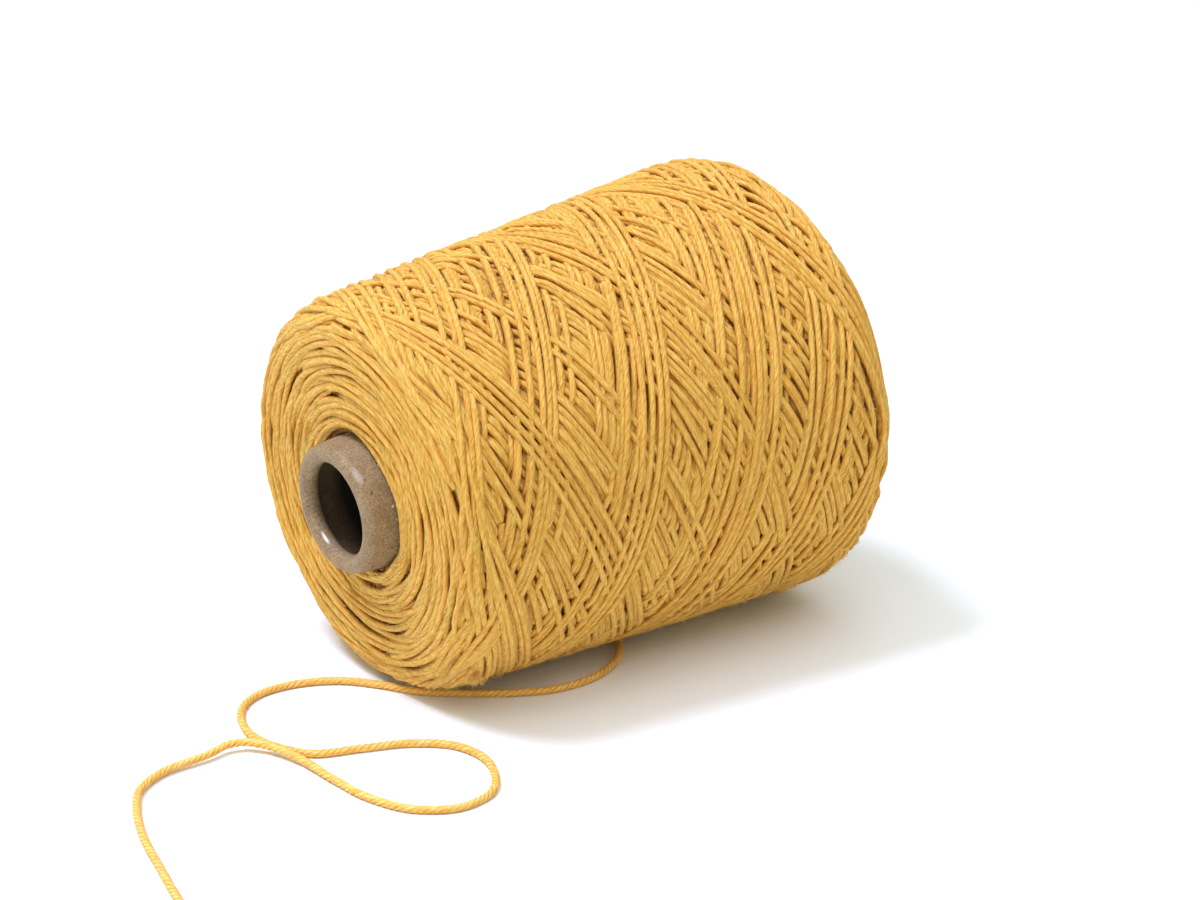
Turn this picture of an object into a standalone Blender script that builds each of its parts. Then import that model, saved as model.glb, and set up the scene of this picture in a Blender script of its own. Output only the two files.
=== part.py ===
"""A cone of yarn lying on its side, with a loose end curling out on the surface it lies on.

Three pieces: the tapered paper cone with its rolled nose rim, the yarn wound on it, and the loose end.
Metres, +Z up. The package lies along X with its narrow nose towards -X. The surface is z = 0, and the
origin is on it, under the middle of the box of the paper cone and the wound yarn.

Run it with: blender --background --python part.py
"""

import math

import bmesh
import bpy
import numpy as np
from mathutils import Matrix

MM = 0.001
GAP = 0.3 * MM  # kept between pieces that touch
WELD = 0.001 * MM
SHARP_ANGLE = math.radians(40)

# The paper cone: 170 mm long, with the usual half angle of 4 degrees 20 minutes.
TAPER = math.radians(4 + 20 / 60)
CONE_LENGTH = 170 * MM
NOSE_OUT = 8.5 * MM  # how far the paper stands out of the yarn at the nose
HOLE_RADIUS = 14.0 * MM  # the opening inside the rolled rim
RIM_RADIUS = 2.75 * MM  # roundness of the rolled rim
RIM_CURL_END = math.radians(370)  # where the roll ends inside, counted from the base side of its circle
WALL = 2.5 * MM
CONE_STEPS = 60
RIM_STEPS = 11

# The wound yarn: its radii are those of the straight side, drawn on to the two end planes.
TRAVERSE = 150 * MM
NOSE_RADIUS = 58.9 * MM
NOSE_SHOULDER = (11.5 * MM, 10.2 * MM)  # along the axis, inwards
BASE_SHOULDER = (13.5 * MM, 13.0 * MM)
FACE_DISH = 0.7 * MM  # how far each end face falls back where it meets the paper
FLAT_DEPTH = 0.75 * MM  # what the package's own weight presses flat underneath
AROUND = 90
SIDE_STEPS = 26
SHOULDER_STEPS = 5
FACE_STEPS = 3

# The main twists: broad ribbons of turns that stand proud where they cross over the rest.
# angle is read from the top towards +Y, halfway along; sweep is what it turns from nose to base.
RIBBON_RAISE = 0.9 * MM
RIBBON_LEVEL = 0.4  # the share of the raise at which the side keeps its plain radius
RIBBON_CROSSING = 1.5  # the share of the raise that crossing ribbons reach together at most
RIBBON_REACH_IN = 0.75  # the ribbons run on over this share of the nose shoulder
RIBBONS = (  # angle (degrees), sweep (degrees), width (mm)
    (44, 370, 12),
    (-168, -330, 13),
    (-115, 425, 9),
    (-15, -420, 10),
    (-139, 430, 8),
    (160, 385, 10),
    (100, -365, 12),
)
PRESSED_LEVEL = math.radians(8)  # ribbons are pressed level this near the underside
PRESSED_FULL = math.radians(24)  # and stand at their full height from here

# The loose end: where its middle line runs, in millimetres, from under the package to the cut end.
STRAND = 2.3 * MM
STRAND_STEP = 6.5 * MM
FINE_STEPS = 4000
OVER_STRAND = STRAND + 1.3 * GAP  # how high the winding is pressed in where the strand runs beneath it
DENT_REACH = 4.2 * MM  # how far to each side of the strand it stays that high
DENT_SLOPE = 0.55
ON_FLOOR = STRAND / 2 / MM
ROUTE = (  # x, y, height of the middle line
    (3.6, -17.9, ON_FLOOR),
    (-0.8, -25.0, ON_FLOOR),
    (-8.8, -33.1, ON_FLOOR),
    (-20.0, -38.0, ON_FLOOR),
    (-34.0, -37.8, ON_FLOOR),
    (-47.5, -31.2, ON_FLOOR),
    (-57.6, -23.6, ON_FLOOR),
    (-66.4, -15.7, ON_FLOOR),
    (-73.4, -4.5, ON_FLOOR),
    (-81.4, 5.3, ON_FLOOR),
    (-89.8, 10.1, ON_FLOOR),
    (-98.4, 12.1, ON_FLOOR),
    (-107.0, 11.0, ON_FLOOR),
    (-114.0, 6.2, ON_FLOOR),
    (-118.5, -1.2, ON_FLOOR),
    (-120.9, -12.0, ON_FLOOR),
    (-118.5, -22.8, ON_FLOOR),
    (-113.2, -31.0, ON_FLOOR),
    (-101.0, -36.2, ON_FLOOR),
    (-87.4, -42.3, ON_FLOOR),
    (-79.0, -50.4, ON_FLOOR),
    (-76.6, -60.6, ON_FLOOR),
    (-79.7, -71.3, ON_FLOOR),
    (-87.4, -80.5, ON_FLOOR),
    (-98.6, -82.4, ON_FLOOR),
    (-109.0, -76.1, ON_FLOOR),
    (-115.2, -63.2, ON_FLOOR),
    (-117.1, -48.4, 1.25),
    (-118.8, -31.3, 1.9),
    (-123.0, -20.0, 2.5),
    (-126.5, -15.9, 2.7),
    (-130.8, -14.5, 2.6),
    (-136.4, -15.4, 2.2),
    (-154.8, -17.1, 1.55),
    (-163.0, -22.3, 1.5),
    (-168.6, -31.0, 1.35),
    (-174.2, -44.4, ON_FLOOR),
    (-179.7, -64.3, ON_FLOOR),
    (-184.7, -84.3, ON_FLOOR),
    (-189.6, -119.0, ON_FLOOR),
)


def cone_radius(along):
    """The paper cone's outer radius; along is measured from the yarn's nose plane towards the base."""
    rim_middle = RIM_RADIUS - NOSE_OUT
    return HOLE_RADIUS + RIM_RADIUS + RIM_RADIUS / math.cos(TAPER) + (along - rim_middle) * math.tan(TAPER)


def side_radius(along):
    """The radius of the wound yarn's straight side."""
    return NOSE_RADIUS + along * math.tan(TAPER)


def material(name, colour, roughness):
    made = bpy.data.materials.new(name)
    made.use_nodes = True
    shader = made.node_tree.nodes["Principled BSDF"]
    shader.inputs["Base Color"].default_value = (*colour, 1.0)
    shader.inputs["Roughness"].default_value = roughness
    shader.inputs["Metallic"].default_value = 0.0
    made.diffuse_color = (*colour, 1.0)
    return made


def package_axis():
    """An empty at the yarn's nose plane whose X runs up the middle of the package, nose to base."""
    rim_middle = RIM_RADIUS - NOSE_OUT
    low = rim_middle * math.cos(TAPER) - (HOLE_RADIUS + RIM_RADIUS) * math.sin(TAPER) - RIM_RADIUS
    cone_end = CONE_LENGTH - NOSE_OUT
    high = cone_end * math.cos(TAPER) + cone_radius(cone_end) * math.sin(TAPER)
    empty = bpy.data.objects.new("package_axis", None)
    bpy.context.scene.collection.objects.link(empty)
    empty.location = (-(low + high) / 2, 0, NOSE_RADIUS * math.cos(TAPER) - FLAT_DEPTH)
    empty.rotation_euler = (0, -TAPER, 0)
    bpy.context.view_layer.update()
    return empty


def turned(profile, steps):
    """A closed outline of (along, radius) points turned right round the X axis."""
    mesh = bmesh.new()
    points = [mesh.verts.new((along, 0, radius)) for along, radius in profile]
    edges = [mesh.edges.new((a, b)) for a, b in zip(points, points[1:] + points[:1])]
    bmesh.ops.spin(
        mesh, geom=points + edges, cent=(0, 0, 0), axis=(1, 0, 0), angle=2 * math.pi, steps=steps,
        use_merge=True,
    )
    bmesh.ops.remove_doubles(mesh, verts=mesh.verts, dist=WELD)
    bmesh.ops.recalc_face_normals(mesh, faces=mesh.faces)
    return mesh


def piece(name, mesh, look, parent):
    data = bpy.data.meshes.new(name)
    mesh.to_mesh(data)
    mesh.free()
    data.materials.append(look)
    data.shade_smooth()
    data.set_sharp_from_angle(angle=SHARP_ANGLE)
    made = bpy.data.objects.new(name, data)
    bpy.context.scene.collection.objects.link(made)
    made.parent = parent
    return made


def paper_cone(parent):
    """The tapered tube: outer wall, rolled rim curling in at the nose, inner wall, plain cut base."""
    rim_along, rim_middle = RIM_RADIUS - NOSE_OUT, HOLE_RADIUS + RIM_RADIUS
    end = CONE_LENGTH - NOSE_OUT
    wall = WALL / math.cos(TAPER)
    start = math.pi / 2 + TAPER
    profile = [(end, cone_radius(end))]
    for step in range(RIM_STEPS + 1):
        angle = start + (RIM_CURL_END - start) * step / RIM_STEPS
        profile.append((rim_along + RIM_RADIUS * math.cos(angle), rim_middle + RIM_RADIUS * math.sin(angle)))
    profile.append((end, cone_radius(end) - wall))
    look = material("brown_paper", (0.27, 0.2, 0.145), 0.55)
    return piece("paper_cone", turned(profile, CONE_STEPS), look, parent)


def yarn_profile():
    """The wound yarn cut along its axis: nose face, shoulder, straight side, shoulder, base face, bore."""
    nose_along, nose_in = NOSE_SHOULDER
    base_along, base_in = BASE_SHOULDER
    side_start, side_end = nose_along, TRAVERSE - base_along
    nose_edge = side_radius(side_start) - nose_in
    base_edge = side_radius(side_end) - base_in
    bore = GAP / math.cos(TAPER)
    nose_bore = cone_radius(FACE_DISH) + bore
    base_bore = cone_radius(TRAVERSE - FACE_DISH) + bore
    points = []
    for step in range(FACE_STEPS):
        share = step / FACE_STEPS
        points.append((FACE_DISH * (1 - share) ** 2, nose_bore + (nose_edge - nose_bore) * share))
    for step in range(SHOULDER_STEPS):
        turn = math.pi / 2 * step / SHOULDER_STEPS
        along = nose_along * (1 - math.cos(turn))
        points.append((along, nose_edge + nose_in * math.sin(turn)))
    for step in range(SIDE_STEPS + 1):
        along = side_start + (side_end - side_start) * step / SIDE_STEPS
        points.append((along, side_radius(along)))
    for step in range(1, SHOULDER_STEPS + 1):
        turn = math.pi / 2 * step / SHOULDER_STEPS
        along = side_end + base_along * math.sin(turn)
        points.append((along, base_edge + base_in * math.cos(turn)))
    for step in range(1, FACE_STEPS + 1):
        share = step / FACE_STEPS
        points.append((TRAVERSE - FACE_DISH * share**2, base_edge + (base_bore - base_edge) * share))
    return points


def ribbon_height(along, angle, radius):
    """How far the ribbons raise the side here, as a share of RIBBON_RAISE."""
    height = 0.0
    for middle, sweep, width in RIBBONS:
        here = math.radians(middle) + math.radians(sweep) * (along / TRAVERSE - 0.5)
        apart = (angle - here + math.pi) % (2 * math.pi) - math.pi
        climb = math.atan2(TRAVERSE, abs(math.radians(sweep)) * radius)
        off_middle = abs(apart) * radius * math.sin(climb) / (width * MM)
        if off_middle < 1:
            height += 0.5 * (1 + math.cos(math.pi * off_middle))
    return min(height, RIBBON_CROSSING)


def eased(value):
    value = min(max(value, 0.0), 1.0)
    return value * value * (3 - 2 * value)


def raise_ribbons(mesh):
    """Moves the side's points in and out so that the ribbons stand proud of what lies between them."""
    for vertex in mesh.verts:
        along, radius = vertex.co.x, math.hypot(vertex.co.y, vertex.co.z)
        if radius < side_radius(along) - NOSE_SHOULDER[1] * RIBBON_REACH_IN:
            continue
        angle = math.atan2(vertex.co.y, vertex.co.z)
        from_ends = eased(along / NOSE_SHOULDER[0]) * eased((TRAVERSE - along) / BASE_SHOULDER[0])
        from_under = eased((math.pi - abs(angle) - PRESSED_LEVEL) / (PRESSED_FULL - PRESSED_LEVEL))
        lift = RIBBON_RAISE * (ribbon_height(along, angle, radius) - RIBBON_LEVEL) * from_ends * from_under
        vertex.co.y *= 1 + lift / radius
        vertex.co.z *= 1 + lift / radius


def press_underside(mesh, to_world, strand):
    """Flattens the line that the package lies on, and presses it in over the strand that runs beneath it."""
    to_local = to_world.inverted()
    for vertex in mesh.verts:
        point = to_world @ vertex.co
        if point.z > OVER_STRAND:
            continue
        near = np.hypot(strand[:, 0] - point.x, strand[:, 1] - point.y).min()
        point.z = max(point.z, 0.0, OVER_STRAND - DENT_SLOPE * max(0.0, near - DENT_REACH))
        vertex.co = to_local @ point


def wound_yarn(parent, strand):
    mesh = turned(yarn_profile(), AROUND)
    raise_ribbons(mesh)
    press_underside(mesh, Matrix(parent.matrix_world), strand)
    look = material("mustard_yarn", (0.63, 0.33, 0.07), 0.9)
    return piece("wound_yarn", mesh, look, parent)


def smooth_line(route, step):
    """Evenly spaced points, in metres, along a smooth curve through the route's own points."""
    knots = np.array(route, float) * MM
    places = np.concatenate([[0], np.cumsum(np.linalg.norm(np.diff(knots, axis=0), axis=1))])
    slopes = np.gradient(knots, places, axis=0)
    fine = np.linspace(0, places[-1], FINE_STEPS)
    index = np.clip(np.searchsorted(places, fine, side="right") - 1, 0, len(places) - 2)
    span = (places[index + 1] - places[index])[:, None]
    t = (fine[:, None] - places[index][:, None]) / span
    curve = (
        (2 * t**3 - 3 * t**2 + 1) * knots[index]
        + (t**3 - 2 * t**2 + t) * span * slopes[index]
        + (3 * t**2 - 2 * t**3) * knots[index + 1]
        + (t**3 - t**2) * span * slopes[index + 1]
    )
    curve[:, 2] = np.maximum(curve[:, 2], STRAND / 2)
    run = np.concatenate([[0], np.cumsum(np.linalg.norm(np.diff(curve, axis=0), axis=1))])
    count = int(round(run[-1] / step)) + 1
    return np.stack([np.interp(np.linspace(0, run[-1], count), run, curve[:, k]) for k in range(3)], axis=1)


def loose_end(line):
    curve = bpy.data.curves.new("loose_end", "CURVE")
    curve.dimensions = "3D"
    curve.bevel_depth = STRAND / 2
    curve.bevel_resolution = 2
    curve.use_fill_caps = True
    spline = curve.splines.new("POLY")
    spline.points.add(len(line) - 1)
    for point, place in zip(spline.points, line):
        point.co = (*(float(value) for value in place), 1.0)
    curve.materials.append(material("mustard_strand", (0.75, 0.42, 0.12), 0.85))
    made = bpy.data.objects.new("loose_end", curve)
    bpy.context.scene.collection.objects.link(made)
    return made


def main():
    for old in list(bpy.data.objects):
        bpy.data.objects.remove(old)
    axis = package_axis()
    paper_cone(axis)
    wound_yarn(axis, smooth_line(ROUTE, 1 * MM))
    loose_end(smooth_line(ROUTE, STRAND_STEP))


main()
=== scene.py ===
"""The looks of a cone of yarn on its side: plied mustard yarn, wound crosswise on a brown paper cone.

The winding is laid strand by strand over a height map of the package, later strands on earlier ones.
Sizes are in millimetres along the package and become metres where a piece is made.
"""

import math

import bmesh
import bpy
import numpy as np
from mathutils import Matrix, Vector


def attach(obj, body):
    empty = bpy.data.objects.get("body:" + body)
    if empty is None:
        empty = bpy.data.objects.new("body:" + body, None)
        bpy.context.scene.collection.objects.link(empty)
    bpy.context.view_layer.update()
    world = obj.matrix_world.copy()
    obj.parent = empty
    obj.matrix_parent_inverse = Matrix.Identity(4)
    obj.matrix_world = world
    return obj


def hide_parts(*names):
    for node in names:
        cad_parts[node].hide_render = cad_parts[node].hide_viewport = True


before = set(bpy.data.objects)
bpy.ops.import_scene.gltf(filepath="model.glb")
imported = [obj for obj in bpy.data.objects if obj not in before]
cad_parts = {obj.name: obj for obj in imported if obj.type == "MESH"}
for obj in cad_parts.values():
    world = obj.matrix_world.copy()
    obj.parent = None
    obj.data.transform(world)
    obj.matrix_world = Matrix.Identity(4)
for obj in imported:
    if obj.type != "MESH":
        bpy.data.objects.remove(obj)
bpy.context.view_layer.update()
MM = 0.001
TURN = 2 * math.pi

# The package, in its own numbers: s runs up its axis from the nose face, angles start at the top, towards +Y.
TAPER = math.radians(4 + 20 / 60)
NOSE_PLANE = np.array([-76.86, 0.0, 57.98])  # where the axis meets the yarn's nose face
TRAVERSE = 150.0
NOSE_RADIUS = 58.9  # of the straight side, drawn on to the nose plane
NOSE_SHOULDER = (11.5, 10.2)  # along the axis, inwards
BASE_SHOULDER = (13.5, 13.0)
AXIS = np.array([math.cos(TAPER), 0.0, math.sin(TAPER)])
UP = np.array([-math.sin(TAPER), 0.0, math.cos(TAPER)])
ACROSS = np.array([0.0, 1.0, 0.0])

# The paper cone
PAPER_RADIUS = 19.94  # at the nose plane
CONE_LENGTH = 170.0
NOSE_OUT = 8.5
HOLE_RADIUS = 14.0
RIM_RADIUS = 2.75
RIM_CURL_END = math.radians(370)  # where the roll ends inside, counted from the base side of its circle
WALL = 2.5

# The yarn
STRAND = 2.3  # the loose end's diameter
WOUND = 1.98  # a wound strand's width, drawn a little thinner by the winder's pull
SWOLLEN = 1.07  # how much wider its soft outside is, which the next strand presses into
RELAXED = 1.02  # how much thicker it is where it lies slack on an end face
DRAWN = 0.92  # how much thinner it is where it's bent round to come back, on the shoulders
UNEVEN = 0.035  # how much its girth varies, from strand to strand and along each
FLATTENED = 0.93  # its height over its width
SOFTNESS = 0.4  # strands that cross press into one another until this share of their height is left

# How the strands are laid
WINDING_ANGLE = math.radians(22)  # between a side turn and the plane across the axis
MEAN_TURN = TURN * 64.6  # once round the package, halfway up
CLIMB_ROUNDING = 20.0  # how softly a strand turns back at the ends, mm along it
OVERRUN = 14.0  # a pass is drawn this far past the point where it turns back, mm
FACE_COVERS = 3
RING_SPACING = 2.35  # of the end faces' arcs, mm
SECTIONS = 15  # of side turns, each some families of turns side by side
OUTLINE_OVER_AVERAGE = 0.9  # how far the outline runs over the winding's average height
PROUD = 1.0  # strands that stand further out than this press down, until this share of the rest is left
PROUD_SHARE = 0.4

# Where it lies on the floor, or on the loose end that runs beneath, mm
RELIEF_TOP = 0.15  # where the outermost strands' middles lie over the outline
SQUEEZED = 0.12  # how gradually the relief lifts
FLOOR_REACH = 8.0  # only strands lower than this are looked at
OVER_STRAND = 0.35  # room left over the loose end
HUMP_HALF = 3.4  # the lift over the loose end is level this far to each side, then falls
HUMP_FALL = 0.45

# How finely the strands that show are drawn
CHORD_ERROR = 0.07  # how far a swept strand may cut its bends, mm
STEP_RANGE = (1.7, 6.0)
END_HIDDEN = 4  # samples that a run of strand goes on for where others cover it
SHORTEST_RUN = 3  # samples that have to show
SECTION_SIDES = 6

# The long ribbons that lie over all else: angle halfway, sweep from nose to base (degrees), width (mm)
RIBBONS = (
    (44, 370, 12), (-168, -330, 13), (-115, 425, 9), (-15, -420, 10),
    (-139, 430, 8), (160, 385, 10), (100, -365, 12), (-36, 428, 12),
)

CROSS_TURNS = (  # the side turns' three pieces, in the order they're laid: shares where each begins and ends
    ("cross_turns_inner", 0.0, 0.62),
    ("cross_turns_middle", 0.62, 0.84),
    ("cross_turns_outer", 0.84, 1.0),
)

FACES_SEED, SIDE_SEED, RUNS_SEED, PAPER_SEED, TUFT_SEED, STRAND_FUZZ_SEED = 4, 9, 7, 12, 37, 33
TUFT = ((-65.2, -41.8, 16.3), (-0.1, -0.35, -0.93))  # where a frayed tuft hangs, and which way

ON_FLOOR = STRAND / 2
ROUTE = [  # the loose end's middle line, mm: x, y, and the height where it's off the floor
    (*place, ON_FLOOR)[:3] for place in (
        (3.6, -17.9), (-0.8, -25.0), (-8.8, -33.1), (-20.0, -38.0), (-34.0, -37.8), (-47.5, -31.2),
        (-57.6, -23.6), (-66.4, -15.7), (-73.4, -4.5), (-81.4, 5.3), (-89.8, 10.1), (-98.4, 12.1),
        (-107.0, 11.0), (-114.0, 6.2), (-118.5, -1.2), (-120.9, -12.0), (-118.5, -22.8), (-113.2, -31.0),
        (-101.0, -36.2), (-87.4, -42.3), (-79.0, -50.4), (-76.6, -60.6), (-79.7, -71.3), (-87.4, -80.5),
        (-98.6, -82.4), (-109.0, -76.1), (-115.2, -63.2), (-117.1, -48.4, 1.25), (-118.8, -31.3, 1.9),
        (-123.0, -20.0, 2.5), (-126.5, -15.9, 2.7), (-130.8, -14.5, 2.6), (-136.4, -15.4, 2.2),
        (-154.8, -17.1, 1.55), (-163.0, -22.3, 1.5), (-168.6, -31.0, 1.35), (-174.2, -44.4),
        (-179.7, -64.3), (-184.7, -84.3), (-189.6, -119.0),
    )
]

# Looks. A negative pitch (metres) twists the plies the way that the photographed yarn's do.
# dark colours random patches and is also the painted shade; valley and the flank share set how much painted
# shade lies between the plies and at the strand's sides
LOOSE_YARN = {
    "dark": (0.6, 0.21, 0.01), "middle": (0.84, 0.42, 0.038), "light": (1.0, 0.69, 0.2),
    "pitch": -0.008, "bump": 0.00014, "valley": 0.85, "flank_shade": 0.3, "fibre_size": 1.0,
}
WOUND_YARN = {
    "dark": (0.62, 0.25, 0.003), "middle": (0.52, 0.232, 0.004), "light": (0.81, 0.515, 0.1),
    "pitch": -0.0102, "bump": 0.00013, "valley": 0.3, "flank_shade": 0.6, "fibre_size": 1.25,
}
LIGHTS = (  # name, place, aim, size (metres), power (watts), colour
    ("softbox", (-0.15, -0.5, 2.0), (0, 0, 0.0), 2.6, 23.0, (0.92, 1.01, 1.38)),
    ("window", (-0.6, 0.35, 1.6), (0, 0, 0.05), 0.6, 21.5, (0.94, 1.03, 1.47)),
    ("side", (-1.8, -0.75, 0.65), (0, 0, 0.05), 1.0, 3.8, (0.93, 1.01, 1.3)),
)
SKY_COLOUR, SKY_STRENGTH = (0.98, 0.965, 0.82, 1), 0.57


# ---------------------------------------------------------------- plain helpers


def linked(name, data):
    """A new object at the origin, in the scene."""
    made = bpy.data.objects.new(name, data)
    bpy.context.scene.collection.objects.link(made)
    return made


def smooth_mesh(name, mesh):
    """The plain mesh of a bmesh, shaded smooth."""
    data = bpy.data.meshes.new(name)
    mesh.to_mesh(data)
    mesh.free()
    data.shade_smooth()
    return data


def ringed_mesh(rings, along, layer_name):
    """A bmesh through rings of points, in metres, with a UV map of (turns round, metres along).

    Along has a value for each ring. With one more than that, the last ring joins the first.
    """
    mesh = bmesh.new()
    rows = [[mesh.verts.new(point) for point in ring] for ring in rings]
    layer = mesh.loops.layers.uv.new(layer_name)
    count = len(rows[0])
    for i in range(len(along) - 1):
        low, high = rows[i], rows[(i + 1) % len(rows)]
        for j in range(count):
            k = (j + 1) % count
            face = mesh.faces.new((low[j], low[k], high[k], high[j]))
            corners = ((j, i), (j + 1, i), (j + 1, i + 1), (j, i + 1))
            for loop, (turns, row) in zip(face.loops, corners):
                loop[layer].uv = (turns / count, along[row])
    return mesh, rows


def outward_object(name, mesh, look):
    """The object of a closed bmesh, its faces turned outwards."""
    bmesh.ops.recalc_face_normals(mesh, faces=mesh.faces)
    made = linked(name, smooth_mesh(name, mesh))
    made.data.materials.append(look)
    return made


def run_length(points):
    """How far along a line each of its points lies."""
    return np.concatenate([[0], np.cumsum(np.linalg.norm(np.diff(points, axis=0), axis=1))])


def around(angle):
    """Unit vectors from the package's axis, at angles from its top."""
    return np.cos(angle)[:, None] * UP + np.sin(angle)[:, None] * ACROSS


def fetched(items, field, width=1, kind=np.float32):
    """One field of all of a mesh's items, in rows where it is wider than one number."""
    values = np.empty(len(items) * width, kind)
    items.foreach_get(field, values)
    return values if width == 1 else values.reshape(-1, width)


def write_points(data, name, values):
    """A new attribute on a mesh's points: a float each, or a vector where a row has three numbers."""
    kind, field = ("FLOAT", "value") if values.ndim == 1 else ("FLOAT_VECTOR", "vector")
    data.attributes.new(name, kind, "POINT").data.foreach_set(field, values.astype(np.float32).ravel())


# ---------------------------------------------------------------- shader building


class Net:
    """Adds nodes to a tree with little writing: node(kind, inputs..., settings)."""

    def __init__(self, tree):
        self.tree = tree

    def join(self, value, socket):
        self.tree.links.new(value, socket)

    def node(self, kind, inputs=(), **settings):
        made = self.tree.nodes.new(kind)
        for name, value in settings.items():
            setattr(made, name, value)
        for name, value in dict(inputs).items():
            if isinstance(value, bpy.types.NodeSocket):
                self.join(value, made.inputs[name])
            else:
                made.inputs[name].default_value = value
        return made

    def maths(self, operation, a, b=0.0, c=0.0):
        return self.node("ShaderNodeMath", {0: a, 1: b, 2: c}, operation=operation).outputs[0]

    def plus(self, a, b):
        return self.maths("ADD", a, b)

    def minus(self, a, b):
        return self.maths("SUBTRACT", a, b)

    def times(self, a, b):
        return self.maths("MULTIPLY", a, b)

    def vector(self, x, y=0.0, z=0.0):
        return self.node("ShaderNodeCombineXYZ", {0: x, 1: y, 2: z}).outputs[0]

    def parts(self, vector):
        return self.node("ShaderNodeSeparateXYZ", {0: vector}).outputs

    def mix(self, share, a, b):
        """From colour a to colour b by a share, on RGB triples or sockets."""
        a, b = ((*colour, 1) if isinstance(colour, tuple) else colour for colour in (a, b))
        inputs = {0: share, 6: a, 7: b}
        return self.node("ShaderNodeMix", inputs, data_type="RGBA", blend_type="MIX").outputs[2]

    def layers(self, colour, *layers):
        """A colour with others laid over it, each given as (share, colour)."""
        for share, over in layers:
            colour = self.mix(share, colour, over)
        return colour

    def remap(self, value, low, high, to_low=0.0, to_high=1.0):
        inputs = {"Value": value, "From Min": low, "From Max": high, "To Min": to_low, "To Max": to_high}
        return self.node("ShaderNodeMapRange", inputs).outputs["Result"]

    def noise(self, vector, scale, detail=2.0, roughness=0.5):
        inputs = {"Vector": vector, "Scale": scale, "Detail": detail, "Roughness": roughness}
        return self.node("ShaderNodeTexNoise", inputs).outputs["Fac"]

    def bump(self, height, distance, strength):
        inputs = {"Height": height, "Distance": distance, "Strength": strength}
        return self.node("ShaderNodeBump", inputs).outputs["Normal"]

    def uv(self, name):
        return self.node("ShaderNodeUVMap", uv_map=name).outputs[0]

    def point_value(self, name):
        return self.node("ShaderNodeAttribute", attribute_name=name).outputs["Fac"]

    def shape(self, kind, inputs=(), **settings):
        """The first output of a geometry node."""
        return self.node("GeometryNode" + kind, inputs, **settings).outputs[0]

    def kept(self, name, kind):
        """A named attribute, in a geometry tree."""
        return self.shape("InputNamedAttribute", {"Name": name}, data_type=kind)


def principled(name, constants):
    """A material, its net, and its Principled shader with these constants on its own sockets."""
    made = bpy.data.materials.new(name)
    made.use_nodes = True
    shader = made.node_tree.nodes["Principled BSDF"]
    for label, value in constants.items():
        shader.inputs[label].default_value = value
    return made, Net(made.node_tree), shader


def empty_group(name, kind, inputs, outputs):
    """An empty tree. Inputs are {name: default, or a kind where it has none}, outputs {name: kind}."""
    tree = bpy.data.node_groups.new(name, kind)
    for label, value in inputs.items():
        socket_kind = value if isinstance(value, str) else {int: "Int", float: "Float"}[type(value)]
        socket = tree.interface.new_socket(
            name=label, in_out="INPUT", socket_type="NodeSocket" + socket_kind
        )
        if not isinstance(value, str):
            socket.default_value = value
    for label, socket_kind in outputs.items():
        tree.interface.new_socket(name=label, in_out="OUTPUT", socket_type="NodeSocket" + socket_kind)
    net = Net(tree)
    return tree, net, net.node("NodeGroupInput").outputs, net.node("NodeGroupOutput").inputs


# ---------------------------------------------------------------- materials


def plied_yarn_group():
    """Twisted plies and their fibres on a strand. Strand is (turns round, metres along)."""
    tree, net, given, out = empty_group(
        "plied_yarn", "ShaderNodeTree",
        {"Strand": "Vector", "Plies": 4.0, "Pitch": 0.0072, "Fibre Size": 1.0},
        dict.fromkeys(("Height", "Valley", "Fibres", "Patches"), "Float"),
    )
    turns, along, _ = net.parts(given["Strand"])

    def round_place(turn, size, per_metre):
        """A place in a noise that meets itself once round the strand."""
        angle = net.times(turn, TURN)
        x, y = (net.times(net.maths(way, angle), size) for way in ("COSINE", "SINE"))
        return net.vector(x, y, net.times(along, per_metre))

    wobble = net.noise(net.vector(net.times(along, 90.0)), 1.0)
    twist = net.plus(net.maths("DIVIDE", along, given["Pitch"]), net.times(wobble, 0.35))
    turn = net.plus(turns, twist)
    phase = net.times(net.times(turn, given["Plies"]), math.pi)
    ridge = net.maths("ABSOLUTE", net.maths("SINE", phase))
    # fibres run along the plies; the stray ones of each ply lie almost straight along the strand
    fibres = net.noise(round_place(turn, 2.0, 260.0), given["Fibre Size"], 3.0, 0.62)
    lean = net.minus(turns, net.times(along, 32.0))
    streaks = net.noise(round_place(lean, 1.6, 280.0), given["Fibre Size"], 3.0, 0.6)
    patches = net.noise(round_place(turn, 1.0, 330.0), 1.1)
    height = net.plus(net.plus(ridge, net.times(fibres, 0.55)), net.times(streaks, 0.7))
    net.join(height, out["Height"])
    # Valley is 1 deep between the plies, where the yarn material paints shade
    net.join(net.remap(ridge, 0.0, 0.55, 1.0, 0.0), out["Valley"])
    net.join(net.plus(net.times(fibres, 0.35), net.times(streaks, 0.65)), out["Fibres"])
    net.join(patches, out["Patches"])
    return tree


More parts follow.
